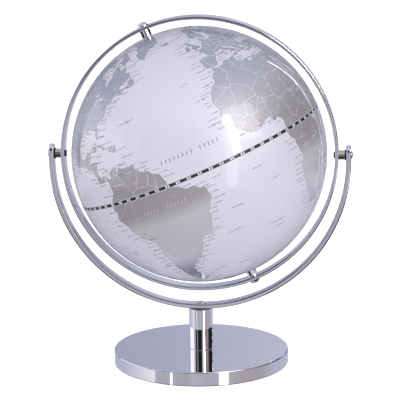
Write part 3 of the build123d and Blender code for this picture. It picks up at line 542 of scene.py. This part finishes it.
def arc_band():
    """The support arc: a flat bar bent to a half circle, with straight rounded arms and rounded edges."""
    low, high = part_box("support_arc")
    outer, half_depth = (high.x - low.x) / 2, (high.y - low.y) / 2
    half_wall, edge = ARC_HALF_WALL, ARC_EDGE
    middle = outer - half_wall
    heart = low.z + outer                          # height of the bend's centre
    tip = 0.98 * half_depth                        # radius of the rounded arm ends, seen from the side
    arm = high.z - heart
    spots = []                                     # (run along the bar, half width, outward normal)
    for k in range(TIP_STEPS + 1):
        a = math.radians(90 * k / TIP_STEPS)
        spots.append((tip - tip * math.cos(a), half_depth - tip + tip * math.sin(a), (-math.cos(a), math.sin(a))))
    spots += [(tip + (arm - tip) * k / 4, half_depth, (0, 1)) for k in range(1, 4)]
    bend = math.pi * middle
    spots += [(arm + bend * k / BEND_STEPS, half_depth, (0, 1)) for k in range(BEND_STEPS + 1)]
    length = 2 * arm + bend
    spots += [(length - s, w, (-n[0], n[1])) for s, w, n in reversed(spots[:TIP_STEPS + 4])]

    def bent(s, y, t):
        if s < arm:
            return (-middle - t, y, heart + arm - s)
        if s > arm + bend:
            return (middle + t, y, heart + s - arm - bend)
        a = (s - arm) / middle
        return (-(middle + t) * math.cos(a), y, heart - (middle + t) * math.sin(a))

    lips = []
    for face in (1, -1):
        for k in range(EDGE_STEPS + 1):
            a = math.radians(90 * (EDGE_STEPS - k) / EDGE_STEPS) if face > 0 else math.radians(90 * k / EDGE_STEPS)
            lips.append((edge * (1 - math.cos(a)), face * (half_wall - edge + edge * math.sin(a))))
    verts, n, m = [], len(lips), len(spots)
    for hand in (1, -1):
        for s, w, normal in spots:
            verts += [bent(s - normal[0] * d, hand * max(w - normal[1] * d, 0.02 * MM), t) for d, t in lips]
    faces = []
    for i in range(m - 1):
        for k in range(n - 1):
            a, b = i * n + k, (i + 1) * n + k
            faces.append((a, a + 1, b + 1, b))
            a, b = a + m * n, b + m * n
            faces.append((a, b, b + 1, a + 1))
        for k in (0, n - 1):
            quad = (i * n + k, (i + 1) * n + k, (m + i + 1) * n + k, (m + i) * n + k)
            faces.append(quad if k == 0 else quad[::-1])
    for i, flip in ((0, False), (m - 1, True)):
        for k in range(n - 1):
            quad = (i * n + k, (m + i) * n + k, (m + i) * n + k + 1, i * n + k + 1)
            faces.append(quad[::-1] if flip else quad)
    arc = new_object("arc_band", verts, faces)
    floor_z, screw_r, head_r = low.z + 2 * half_wall, SCREW_R, SCREW_HEAD_R
    holes = [((x * (outer - 6 * MM), 0, CENTRE[2]), (x, 0, 0), 12 * MM, BUSH_R, BUSH_R) for x in (1, -1)]
    holes.append(((0, 0, floor_z + 0.2 * MM), (0, 0, -1), 2.6 * MM, head_r + 0.2 * MM, screw_r))
    holes.append(((0, 0, floor_z), (0, 0, -1), 8 * MM, screw_r, screw_r))
    return cut(arc, holes)


ring, arc = ring_band(), arc_band()
for piece, node, body in ((ring, "meridian_ring", "ring"), (arc, "support_arc", "stand")):
    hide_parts(node)
    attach(piece, body)


# ---------------------------------------------------------------- printed names, as plain strokes

INK = 0.03 * MM                               # the strokes stand this far off the globe
coast_draws = random.Random(23)


def name_row(lon, lat, count, tall, pitch, wide, draws, plain=False):
    """One printed name as a row of short upright strokes along a parallel: corner lists, in metres."""
    bars, lon_step = [], math.degrees(pitch * MM / (GLOBE_R * math.cos(math.radians(lat))))
    for k in range(count):
        rise, drop = (0, 0) if plain else (draws.uniform(-0.25, 0.3) * tall, draws.uniform(-0.1, 0.15) * tall)
        if not plain and draws.random() < 0.13:
            continue
        half = math.degrees(wide * MM / 2 / (GLOBE_R * math.cos(math.radians(lat))))
        low = lat + math.degrees((drop - tall / 2) * MM / GLOBE_R)
        high = lat + math.degrees((rise + tall / 2) * MM / GLOBE_R)
        slant = half * (0.8 if plain else draws.uniform(-0.6, 1.2))
        at = lon + k * lon_step
        bars.append([(at - half - slant, low), (at + half - slant, low), (at + half + slant, high),
                     (at - half + slant, high)])
    return bars


def strokes(name, bars):
    """All the bars as one piece: thin closed slabs that follow the globe."""
    corners = np.array(bars)                                          # bar, corner, lon and lat
    under = on_globe(corners[..., 0], corners[..., 1], GLOBE_R - INK)
    over = on_globe(corners[..., 0], corners[..., 1], GLOBE_R + INK)
    verts = np.concatenate([under, over], axis=1).reshape(-1, 3)
    faces = []
    for b in range(len(bars)):
        o = b * 8
        faces += [(o + 3, o + 2, o + 1, o), (o + 4, o + 5, o + 6, o + 7)]
        faces += [(o + k, o + (k + 1) % 4, o + 4 + (k + 1) % 4, o + 4 + k) for k in range(4)]
    obj = new_object(name, verts, faces, smooth=False)
    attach(obj, "globe")
    return obj


def shore_rows():
    """Names beside the coasts: dark, starting at the shore and running out over the sea."""
    rows = []
    for loop, gap in [(LAND[i], 2.6) for i in range(6)] + [(l, 3.5) for l in LAND[6:30]]:
        walked = 0.0
        for a, b in zip(loop[:-1], loop[1:]):
            squeeze = math.cos(math.radians(a[1]))
            walked += math.hypot((b[0] - a[0]) * squeeze, b[1] - a[1])
            if walked < gap or abs(a[1]) > 74:
                continue
            walked = coast_draws.uniform(-gap * 0.5, gap * 0.4)
            reach = 1.2 / squeeze
            dry = [on_land(a[0] + way * reach, a[1]) for way in (1, 5, -1, -5)]
            count = coast_draws.randint(7, 15)
            lat = float(to_print(a[1]))
            length = math.degrees(count * 0.62 * MM / (GLOBE_R * math.cos(math.radians(lat))))
            if not dry[0] and not dry[1]:
                start = a[0] + 0.9 / squeeze
            elif not dry[2] and not dry[3]:
                start = a[0] - 0.9 / squeeze - length
            else:
                continue
            if abs(lat) > 2.5:
                rows += name_row(start, lat, count, 0.85, 0.62, 0.29, coast_draws)
    return rows


# South America's name is centred on 55 west, where the continent is widest, with Brazil's below it
GREAT_LAND = ((-66, -8, 5, 2.4, 2.9), (-56, -8, 7, 2.4, 2.9), (-55, -15, 6, 2.1, 2.4),
              (95, 62, 7, 2.4, 3.2), (98, 36, 5, 2.4, 3.2), (-112, 58, 6, 2.2, 3.0), (-108, 42, 8, 2.2, 3.0),
              (122, -25, 9, 2.4, 3.2))


def inland_rows():
    """Names on the land, pale, scattered evenly."""
    rows, taken = [], []
    for _ in range(5200):
        lon, lat = coast_draws.uniform(-180, 180), math.degrees(math.asin(coast_draws.uniform(-0.9, 0.95)))
        here = np.array([lon * math.cos(math.radians(lat)), lat])
        north_east = lat > 0 and lon > -25
        high, wide = (1.5, 4.6) if north_east else (2.0, 7.0)
        if any(abs(here[1] - t[1]) < high and abs(here[0] - t[0]) < wide for t in taken):
            continue
        count = coast_draws.randint(4, 8) if north_east else coast_draws.randint(6, 13)
        tall = 1.5 if coast_draws.random() < 0.3 else 0.8
        pitch = tall * 0.8
        length = math.degrees(count * pitch * MM / (GLOBE_R * math.cos(math.radians(lat))))
        if not all(on_land(lon + step, lat) for step in np.linspace(-1, length + 1, 5)):
            continue
        if lat < 0 and coast_draws.random() < 0.55 or any(
                -2 < lon - g[0] + length and lon < g[0] + g[2] * 1.8 and abs(to_print(lat) - g[1]) < 3.4
                for g in GREAT_LAND):
            continue
        taken.append(here)
        if abs(to_print(lat)) > 3:
            rows += name_row(lon, float(to_print(lat)), count, tall, pitch, tall * 0.22, coast_draws)
    return rows


# where an atlas puts each island or rise, and how many strokes its name takes
ATLANTIC_ISLES = {
    "bermuda": (-65, 32, 14), "azores": (-28, 38, 12), "madeira": (-17, 33, 8), "canaries": (-24, 28, 12),
    "cape_verde": (-24, 16, 16), "bahamas": (-74, 24, 14), "puerto_rico": (-66, 18, 16), "barbados": (-59, 13, 14),
    "noronha": (-32, -4, 12), "ascension": (-14, -8, 13), "st_helena": (-6, -16, 12), "trindade": (-29, -20, 16),
    "rio_grande_rise": (-35, -31, 20), "tristan": (-12, -37, 20), "gough": (-10, -40, 14),
    "south_georgia": (-37, -54, 20), "falklands": (-57, -52, 18),
}


def sea_rows():
    """Names on open water: a few great ones in plain tall strokes, and small ones for seamounts and isles."""
    rows = []
    for lon, lat, count, tall, pitch in ((-49, 10, 8, 3.0, 3.4), (-31, 10, 5, 3.0, 3.4),
                                         (-150, 12, 7, 3.2, 4.2), (-128, 12, 5, 3.2, 4.2),
                                         (-140, -24, 7, 3.2, 4.2), (62, -22, 6, 3.0, 3.8),
                                         (82, -22, 5, 3.0, 3.8), (-170, 80, 6, 2.0, 3.0)):
        rows += name_row(lon, lat, count, tall, pitch, 0.55, coast_draws, plain=True)
    for lon, lat, count in ATLANTIC_ISLES.values():
        rows += name_row(lon, lat, count, 0.85, 0.62, 0.31, coast_draws)
    for _ in range(260):
        lon, lat = coast_draws.uniform(75, 300), coast_draws.uniform(-62, 55)
        if not on_land(lon, lat) and abs(lat) > 3:
            rows += name_row(lon, lat, coast_draws.randint(5, 12), 0.85, 0.62, 0.29, coast_draws)
    return rows


sea_names = strokes("sea_names", shore_rows() + sea_rows())
great_land = []
for lon, lat, count, tall, pitch in GREAT_LAND:
    great_land += name_row(lon, lat, count, tall, pitch, 0.4, coast_draws, plain=True)
land_names = strokes("land_names", inland_rows() + great_land)


# ---------------------------------------------------------------- materials

class Nodes:
    """A node tree, with short calls for the nodes used here."""

    def __init__(self, tree):
        self.tree = tree
        tree.nodes.clear()

    def node(self, kind, *inputs, **settings):
        made = self.tree.nodes.new("ShaderNode" + kind)
        for key, value in settings.items():
            setattr(made, key, value)
        for i, value in enumerate(inputs):
            if value is not None:
                self.feed(made.inputs[i], value)
        return made

    def feed(self, socket, value):
        if isinstance(value, bpy.types.NodeSocket):
            self.tree.links.new(value, socket)
        else:
            socket.default_value = value

    def math(self, operation, *inputs):
        return self.node("Math", *inputs, operation=operation).outputs[0]

    def ramp(self, factor, *stops):
        made = self.node("ValToRGB", factor)
        elements = made.color_ramp.elements
        while len(elements) < len(stops):
            elements.new(0.5)
        for element, (at, colour) in zip(elements, stops):
            element.position, element.color = at, (*colour, 1)
        return made.outputs[0]

    def range(self, value, low, high, to_low=0.0, to_high=1.0):
        return self.node("MapRange", value, low, high, to_low, to_high, clamp=True).outputs[0]

    def mix(self, factor, a, b):
        made = self.node("Mix", data_type="RGBA")
        for socket, value in zip((made.inputs[0], made.inputs[6], made.inputs[7]), (factor, a, b)):
            self.feed(socket, (*value, 1) if isinstance(value, tuple) else value)
        return made.outputs[2]


class Paint(Nodes):
    """A principled material."""

    def __init__(self, name, **sockets):
        self.mat = bpy.data.materials.new(name)
        self.mat.use_nodes = True
        super().__init__(self.mat.node_tree)
        out = self.node("OutputMaterial")
        self.bsdf = self.node("BsdfPrincipled")
        self.tree.links.new(self.bsdf.outputs[0], out.inputs["Surface"])
        for key, value in sockets.items():
            self.bsdf.inputs[key.replace("_", " ")].default_value = value

    def attribute(self, name):
        return self.node("Attribute", attribute_name=name).outputs["Fac"]

    def place(self):
        return self.node("TexCoord").outputs["Object"]

    def noise(self, scale, detail=3.0, roughness=0.5):
        made = self.node("TexNoise")
        made.inputs["Scale"].default_value = scale
        made.inputs["Detail"].default_value = detail
        made.inputs["Roughness"].default_value = roughness
        self.tree.links.new(self.place(), made.inputs["Vector"])
        return made.outputs["Fac"]

    def set(self, socket, value):
        self.tree.links.new(value, self.bsdf.inputs[socket])

    def bump(self, height, strength, distance):
        made = self.node("Bump")
        made.inputs["Strength"].default_value = strength
        made.inputs["Distance"].default_value = distance
        self.tree.links.new(height, made.inputs["Height"])
        self.set("Normal", made.outputs[0])


def plating(name, colour, roughness, wear=0.02):
    """Polished plate: clear reflections, with faint haze, hairline polish marks and dulled patches."""
    p = Paint(name, Metallic=1.0)
    cloud = p.noise(38, 4)
    p.set("Base Color", p.mix(cloud, tuple(c * 0.96 for c in colour), tuple(min(1, c * 1.03) for c in colour)))
    marks = p.noise(900, 2, 0.7)
    haze = p.range(cloud, 0.35, 0.75, roughness, roughness + wear)
    p.set("Roughness", p.math("ADD", haze, p.range(marks, 0.55, 0.8, 0.0, wear * 0.6)))
    p.bump(p.math("ADD", p.noise(60, 2), p.math("MULTIPLY", marks, 0.03)), 0.008, 0.0003)
    return p.mat


def moulded(name, colour, roughness):
    """Moulded plastic or rubber with a fine spark-eroded grain."""
    p = Paint(name, Metallic=0.0)
    grain, cloud = p.noise(2600, 2), p.noise(70, 3)
    p.set("Base Color", p.mix(cloud, tuple(c * 0.85 for c in colour), tuple(min(1, c * 1.15) for c in colour)))
    p.set("Roughness", p.range(grain, 0.3, 0.7, roughness - 0.08, roughness + 0.08))
    p.bump(grain, 0.15, 0.0001)
    return p.mat


chrome = plating("chrome_plate", (0.86, 0.86, 0.9), 0.035)
nickel = plating("warm_nickel", (0.74, 0.65, 0.58), 0.34)
zinc = plating("zinc_plate", (0.62, 0.63, 0.66), 0.25, 0.1)
black_oxide = plating("black_oxide", (0.09, 0.09, 0.1), 0.3, 0.1)
iron = moulded("bare_iron", (0.12, 0.12, 0.125), 0.75)
rubber = moulded("foam_rubber", (0.03, 0.03, 0.033), 0.85)
nylon = moulded("black_nylon", (0.02, 0.02, 0.022), 0.5)
milky = moulded("milky_plastic", (0.75, 0.75, 0.74), 0.45)


def globe_skin():
    """The printed map: pearl sea, silver land with painted shade toward the poles and a painted sheen a little
    south of the equator, fine pale borders, under clear lacquer.
    """
    p = Paint("map_skin", IOR=1.5)
    place = p.place()
    shore = p.attribute("shore")
    wiggle = p.math("MULTIPLY", p.math("SUBTRACT", p.noise(520, 4, 0.65), 0.5), 1.6)
    edge = p.math("ADD", shore, wiggle)
    land = p.range(edge, -0.12, 0.12)
    lines = [p.math("ABSOLUTE", p.attribute("border_" + letter)) for letter in "abc"]
    nearest = p.math("MINIMUM", p.math("MINIMUM", lines[0], lines[1]), lines[2])
    cloud, flake = p.noise(16, 3), p.noise(5200, 1)
    sea = p.mix(cloud, (0.70, 0.685, 0.785), (0.76, 0.745, 0.84))
    north_way = p.node("VectorMath", place, operation="DOT_PRODUCT")
    north_way.inputs[1].default_value = POLE
    height = p.math("SUBTRACT", north_way.outputs["Value"], float(CENTRE @ POLE))
    # painted light: the land's tone is set by height along the pole axis, darker toward both poles (painted shade)
    # and lightest a little south of the equator (painted sheen)
    foil_with_painted_light = p.ramp(p.range(height, -0.1, 0.1),
                  (0.05, (0.16, 0.17, 0.24)), (0.14, (0.21, 0.215, 0.28)), (0.21, (0.68, 0.68, 0.77)),
                  (0.37, (0.80, 0.785, 0.83)), (0.43, (0.52, 0.47, 0.51)), (0.56, (0.48, 0.44, 0.47)),
                  (0.70, (0.50, 0.495, 0.55)), (0.85, (0.45, 0.455, 0.54)), (1.0, (0.36, 0.37, 0.47)))
    foil_with_painted_light = p.mix(p.math("MULTIPLY", flake, 0.25), foil_with_painted_light, (0.60, 0.60, 0.66))
    rim = p.math("MULTIPLY", p.range(edge, 0.1, 0.7, 0.35, 0.0), land)
    foil_with_painted_light = p.mix(rim, foil_with_painted_light, (0.16, 0.16, 0.2))
    border = p.math("MULTIPLY", p.range(nearest, 0.08, 0.27, 0.85, 0.0), p.range(edge, 0.2, 0.5))
    border = p.math("MULTIPLY", border, p.range(height, -0.03, 0.03, 0.3, 1.0))
    land_colour = p.mix(border, foil_with_painted_light, (0.82, 0.82, 0.88))
    p.set("Base Color", p.mix(land, sea, land_colour))
    gleam = p.math("SUBTRACT", 0.5, p.math("MULTIPLY", border, 0.4))
    gleam = p.math("MULTIPLY", gleam, p.range(height, -0.06, 0.0, 0.66, 1.0))
    p.set("Metallic", p.range(land, 0, 1, 0.12, gleam))
    p.set("Roughness", p.range(land, 0, 1, 0.5, 0.48))
    p.bsdf.inputs["Coat Weight"].default_value = 1.0
    p.bsdf.inputs["Coat Roughness"].default_value = 0.03
    p.bsdf.inputs["Coat IOR"].default_value = 1.5
    p.bump(p.math("ADD", p.math("MULTIPLY", land, 0.6), p.math("MULTIPLY", flake, 0.15)), 0.2, 0.00006)
    return p.mat


def tape_print():
    """Equator tape: black and white blocks between two dark lines, with a tick in each white one and pale edges."""
    p = Paint("tape_print", Roughness=0.3)
    place = p.place()

    def along(axis):
        made = p.node("VectorMath", place, operation="DOT_PRODUCT")
        made.inputs[1].default_value = axis
        return p.math("SUBTRACT", made.outputs["Value"], float(CENTRE @ np.array(axis)))

    across = p.math("DIVIDE", p.math("ABSOLUTE", along(POLE)), MM)
    turn = p.math("ARCTAN2", along(SIDE), along(FRONT))
    beat = p.math("FRACT", p.math("ADD", p.math("MULTIPLY", turn, 72 / math.tau), 36.0))
    block = p.math("MULTIPLY", p.range(beat, 0.34, 0.36), p.range(beat, 0.985, 1.0, 1.0, 0.0))
    tick = p.range(p.math("ABSOLUTE", p.math("SUBTRACT", beat, 0.18)), 0.03, 0.045, 1.0, 0.0)
    edge = p.math("MULTIPLY", p.range(across, 0.86, 0.92), p.range(across, 1.16, 1.22, 1.0, 0.0))
    core = p.range(across, 1.16, 1.22, 1.0, 0.0)
    dark = p.math("MAXIMUM", p.math("MULTIPLY", p.math("MAXIMUM", block, tick), core), edge)
    worn = p.noise(800, 3)
    ink = p.mix(worn, (0.012, 0.012, 0.016), (0.035, 0.035, 0.042))
    paper = p.mix(worn, (0.66, 0.65, 0.72), (0.80, 0.79, 0.86))
    p.set("Base Color", p.mix(dark, paper, ink))
    p.bsdf.inputs["Coat Weight"].default_value = 0.7
    p.bsdf.inputs["Coat Roughness"].default_value = 0.06
    p.bump(dark, 0.1, 0.00003)
    return p.mat


def ink(name, dark, light):
    p = Paint(name, Roughness=0.45)
    p.set("Base Color", p.mix(p.noise(1500, 3), dark, light))
    p.bsdf.inputs["Coat Weight"].default_value = 0.5
    return p.mat


for band in (ring, arc):
    band.data.materials.clear()
    band.data.materials.append(chrome)
map_skin = globe_skin()
for half in (north, south):
    half.data.materials.append(map_skin)
sea_names.data.materials.append(ink("slate_ink", (0.10, 0.10, 0.14), (0.17, 0.17, 0.22)))
land_names.data.materials.append(ink("white_ink", (0.66, 0.66, 0.72), (0.78, 0.78, 0.83)))


FINISHES = {
    "chrome": chrome, "cast_iron": iron, "pad_rubber": rubber, "zinc_steel": zinc,
    "dark_steel": black_oxide, "black_nylon": nylon, "inner_plastic": milky,
    "globe_shell": map_skin, "printed_tape": tape_print(),
}
for name, obj in frame["nodes"].items():
    for place in obj.material_slots:
        finish = FINISHES[place.material.name.split(".")[0]]
        place.material = nickel if name.endswith("pivot_spacer") else finish


# ---------------------------------------------------------------- studio

floor_mesh = bpy.data.meshes.new("floor")
floor_mesh.from_pydata([(-6, -6, 0), (6, -6, 0), (6, 6, 0), (-6, 6, 0)], [], [(0, 1, 2, 3)])
floor = bpy.data.objects.new("floor", floor_mesh)
bpy.context.scene.collection.objects.link(floor)
fp = Paint("floor_paper", Roughness=0.9)
fp.set("Base Color", fp.mix(fp.noise(30, 3), (0.93, 0.93, 0.93), (0.95, 0.95, 0.95)))
fp.bsdf.inputs["Emission Color"].default_value = (1, 1, 1, 1)
shown = fp.node("LightPath").outputs["Is Camera Ray"]
fp.set("Emission Strength", fp.math("MULTIPLY_ADD", shown, 0.6, 0.25))
floor_mesh.materials.append(fp.mat)
floor.visible_glossy = False


def lamp(name, where, size, power, seen=True, turn=0.0):
    """A soft box at a place round the globe: azimuth and elevation in degrees and distance in metres."""
    azimuth, elevation, reach = where
    a, e = math.radians(azimuth), math.radians(elevation)
    spot = Vector(CENTRE) + reach * Vector((math.sin(a) * math.cos(e), -math.cos(a) * math.cos(e), math.sin(e)))
    light = bpy.data.lights.new(name, "AREA")
    light.shape, light.size, light.size_y = "RECTANGLE", size[0], size[1]
    light.energy = power
    obj = bpy.data.objects.new(name, light)
    bpy.context.scene.collection.objects.link(obj)
    obj.location = spot
    facing = (Vector(CENTRE) - spot).to_track_quat("-Z", "Y")
    obj.rotation_mode = "QUATERNION"
    obj.rotation_quaternion = facing @ Matrix.Rotation(math.radians(turn), 3, "Z").to_quaternion()
    obj.visible_glossy = seen
    obj.visible_camera = False


lamp("fill", (-25, 50, 1.7), (2.0, 1.4), 5.5, seen=False)
lamp("strip", (36.5, 26, 1.5), (0.20, 0.86), 3.7, turn=8)
lamp("glow", (50, 33, 1.5), (0.75, 0.75), 4.2)
lamp("left_soft", (-96, 3, 1.5), (1.6, 0.95), 3.6)
lamp("rim_right", (145.5, 19, 1.4), (0.022, 0.85), 0.7)

world = bpy.data.worlds.new("studio")
bpy.context.scene.world = world
world.use_nodes = True
sky = Nodes(world.node_tree)
way = sky.node("SeparateXYZ", sky.node("TexCoord").outputs["Generated"])
rise = way.outputs[2]
angle = sky.math("ARCTAN2", way.outputs[0], sky.math("SUBTRACT", 0.0, way.outputs[1]))
turn = sky.range(angle, -math.pi, math.pi)


def round_the_room(*stops):
    """Colours of the room by azimuth in degrees, with 0 behind the camera and 90 on its right."""
    return sky.ramp(turn, *((azimuth / 360 + 0.5, colour) for azimuth, colour in stops))


BLACK, GREY, PALE, WHITE = (0.012, 0.012, 0.016), (0.46, 0.455, 0.52), (0.66, 0.66, 0.76), (2.2, 2.2, 2.25)
LILAC, BROWN, MAUVE = (0.50, 0.51, 0.64), (0.30, 0.24, 0.22), (0.43, 0.39, 0.43)
DUSK, DAWN, GLOOM = (0.445, 0.455, 0.57), (0.59, 0.60, 0.715), (0.10, 0.10, 0.14)
MIST, SLATE, ASH, TAUPE = (0.5, 0.5, 0.58), (0.20, 0.21, 0.28), (0.3, 0.3, 0.36), (0.42, 0.40, 0.36)
HAZE, COAL = (0.5, 0.52, 0.64), (0.15, 0.15, 0.19)
LEFT_WALL = ((-180, LILAC), (-140, LILAC), (-132, BLACK), (-66, BLACK))
RIGHT_WALL = ((20, GREY), (29, GREY), (30, WHITE), (38, WHITE), (39, GREY), (50, ASH), (58, BLACK), (130, BLACK),
              (150, GLOOM), (158, GLOOM), (166, LILAC), (180, LILAC))

under = round_the_room(
    (-180, GLOOM), (-120, SLATE), (-80, BLACK), (80, BLACK), (120, SLATE), (180, GLOOM))
table = round_the_room(
    (-180, LILAC), (-120, LILAC), (-90, PALE), (-59, (0.9, 0.9, 0.95)), (-57, GREY), (-36, GREY), (-35.4, WHITE),
    (-34, WHITE), (-33.4, GREY), (-10, (0.43, 0.43, 0.46)), (-8, MIST), (12, GREY), (28, GREY), (29, WHITE),
    (40, WHITE), (41, GREY), (60, MAUVE), (90, MAUVE), (120, LILAC), (180, LILAC))
level = round_the_room(*LEFT_WALL, (-60, MIST), (-20, (0.38, 0.385, 0.44)), *RIGHT_WALL)
high = round_the_room(*LEFT_WALL, (-60, GREY), (-30, GREY), (-22, COAL), (14, COAL), *RIGHT_WALL)
front = round_the_room(
    (-180, DAWN), (-172, (0.40, 0.41, 0.53)), (-140, DUSK), (-100, (0.49, 0.49, 0.59)), (-75, (0.45, 0.46, 0.58)),
    (-52, (0.62, 0.62, 0.74)), (-50, BLACK), (-34, (0.05, 0.05, 0.05)), (-32, TAUPE), (-27, TAUPE), (-25, BLACK),
    (12, BLACK), (14, (0.4, 0.39, 0.4)), (28, (0.5, 0.5, 0.5)), (30, WHITE), (38, WHITE), (40, BROWN),
    (75, (0.36, 0.30, 0.28)), (80, (0.10, 0.10, 0.12)), (92, BLACK), (130, BLACK), (150, GLOOM), (160, GLOOM),
    (168, DUSK), (180, DAWN))
above = round_the_room((-180, HAZE), (0, (0.62, 0.62, 0.72)), (180, HAZE))

colours = under
for low, top, band in ((-0.345, -0.325, table), (-0.25, -0.235, level), (-0.16, -0.135, high),
                             (0.0, 0.03, front), (0.45, 0.65, above)):
    colours = sky.mix(sky.range(rise, low, top), colours, band)
room = sky.node("Background", colours, 1.0)
soft_light = round_the_room(
    (-180, (0.44, 0.44, 0.45)), (-90, (0.63, 0.63, 0.65)), (-20, (0.56, 0.56, 0.58)), (50, (0.46, 0.46, 0.48)),
    (110, (0.24, 0.24, 0.26)), (180, (0.44, 0.44, 0.45)))
flat_light = sky.node("Background", soft_light, 1.0)
white = sky.node("Background", (1, 1, 1, 1), 1.15)
path = sky.node("LightPath")
lit = sky.node("MixShader", path.outputs["Is Diffuse Ray"], room.outputs[0], flat_light.outputs[0])
blend = sky.node("MixShader", path.outputs["Is Camera Ray"], lit.outputs[0], white.outputs[0])
sky.tree.links.new(blend.outputs[0], sky.node("OutputWorld").inputs["Surface"])

# ---------------------------------------------------------------- camera, fitted to the photo's outlines

EYE = Vector(CENTRE) + Vector((0.1303, -1.4054, 0.2589))
TARGET = Vector(CENTRE) + Vector((0.0002, 0.0, -0.0368))
LENS_MM, ROLL = 165.0, math.radians(-0.57)
view_way = (TARGET - EYE).normalized()
right = view_way.cross(Vector((0, 0, 1))).normalized()
up = right.cross(view_way)
cam_x = right * math.cos(ROLL) + up * math.sin(ROLL)
cam_y = up * math.cos(ROLL) - right * math.sin(ROLL)
camera = bpy.data.objects.new("camera", bpy.data.cameras.new("camera"))
bpy.context.scene.collection.objects.link(camera)
camera.data.lens, camera.data.sensor_width = LENS_MM, 36.0
camera.data.clip_start, camera.data.clip_end = 0.05, 50
camera.matrix_world = Matrix.Translation(EYE) @ Matrix((cam_x, cam_y, -view_way)).transposed().to_4x4()
bpy.context.scene.camera = camera
bpy.context.scene.view_settings.view_transform = "Standard"
